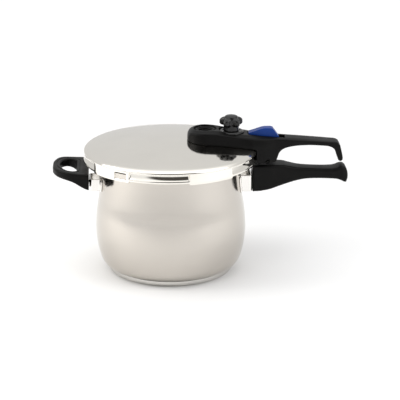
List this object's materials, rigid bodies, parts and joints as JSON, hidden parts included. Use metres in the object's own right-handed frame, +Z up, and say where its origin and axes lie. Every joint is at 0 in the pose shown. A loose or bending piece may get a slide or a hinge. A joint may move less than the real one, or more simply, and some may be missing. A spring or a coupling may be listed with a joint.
{
  "type": "stovetop pressure cooker",
  "caption": "Steel stovetop pressure cooker with a bayonet lid, long black handles, a helper loop, a lobed pressure selector and a sliding lid lock.",
  "frame": {"origin": "centre of the base's underside, on the stove", "axes": "+Z up out of the base along the pot's axis; +X along both long handles, away from the pot; -X towards the helper loop"},
  "size_m": [0.4317, 0.252, 0.23],
  "materials": {
    "polished_steel": "mirror polished",
    "brushed_steel": "brushed",
    "aluminium_core": "matt",
    "black_plastic": "satin moulded",
    "blue_plastic": "satin moulded",
    "seal_rubber": "matt",
    "brass": "turned",
    "indicator_plastic": "satin"
  },
  "bodies": {
    "pot": {"pot_body": "polished_steel", "base_core": "aluminium_core", "base_cap": "polished_steel", "pot_handle_bracket": "brushed_steel", "pot_handle": "black_plastic", "pot_handle_screw": "brushed_steel", "helper_bracket": "brushed_steel", "helper_handle": "black_plastic", "helper_screw": "brushed_steel"},
    "seal": {"gasket": "seal_rubber"},
    "lid": {"lid": "polished_steel", "lid_handle": "black_plastic", "handle_screw_front": "brushed_steel", "handle_screw_side": "brushed_steel", "valve_seat": "brass", "valve_nut": "brushed_steel", "valve_filter": "brushed_steel", "knob_collar": "black_plastic", "indicator_housing": "brushed_steel", "indicator_nut": "brushed_steel", "safety_body": "brass", "safety_nut": "brushed_steel"},
    "knob": {"selector_knob": "black_plastic"},
    "plunger": {"valve_plunger": "brushed_steel", "valve_spring": "brushed_steel"},
    "indicator": {"indicator_pin": "indicator_plastic", "indicator_seal": "seal_rubber"},
    "safety": {"safety_plunger": "brushed_steel", "safety_spring": "brushed_steel"},
    "slider": {"lock_slider": "blue_plastic"},
    "bolt": {"lock_bolt": "brushed_steel"}
  },
  "joints": [
    {"name": "lid_lift", "type": "slide", "parent": "pot", "child": "seal", "axis": [0, 0, 1], "range_m": [0, 0.09]},
    {"name": "lid_turn", "type": "hinge", "parent": "seal", "child": "lid", "pos_m": [0, 0, 0.172], "axis": [0, 0, 1], "range_deg": [0, 36]},
    {"name": "selector_turn", "type": "hinge", "parent": "lid", "child": "knob", "pos_m": [0.0885, 0, 0.21], "axis": [0, 0, 1], "range_deg": [-36, 72]},
    {"name": "plunger_lift", "type": "slide", "parent": "lid", "child": "plunger", "axis": [0, 0, 1], "range_m": [0, 0.0025], "stiffness_N_per_m": 500, "springref_m": -0.003, "deforming": ["valve_spring"]},
    {"name": "indicator_rise", "type": "slide", "parent": "lid", "child": "indicator", "axis": [0, 0, 1], "range_m": [0, 0.004]},
    {"name": "safety_lift", "type": "slide", "parent": "lid", "child": "safety", "axis": [0, 0, 1], "range_m": [0, 0.0015], "stiffness_N_per_m": 1200, "springref_m": -0.002, "deforming": ["safety_spring"]},
    {"name": "lock_slide", "type": "slide", "parent": "lid", "child": "slider", "axis": [1, 0, 0], "range_m": [0, 0.007]},
    {"name": "bolt_drop", "type": "slide", "parent": "lid", "child": "bolt", "axis": [0, 0, -1], "range_m": [0, 0.0077]}
  ],
  "couplings": [
    {"joint": "bolt_drop", "follows": "lock_slide", "ratio": 1.1}
  ]
}
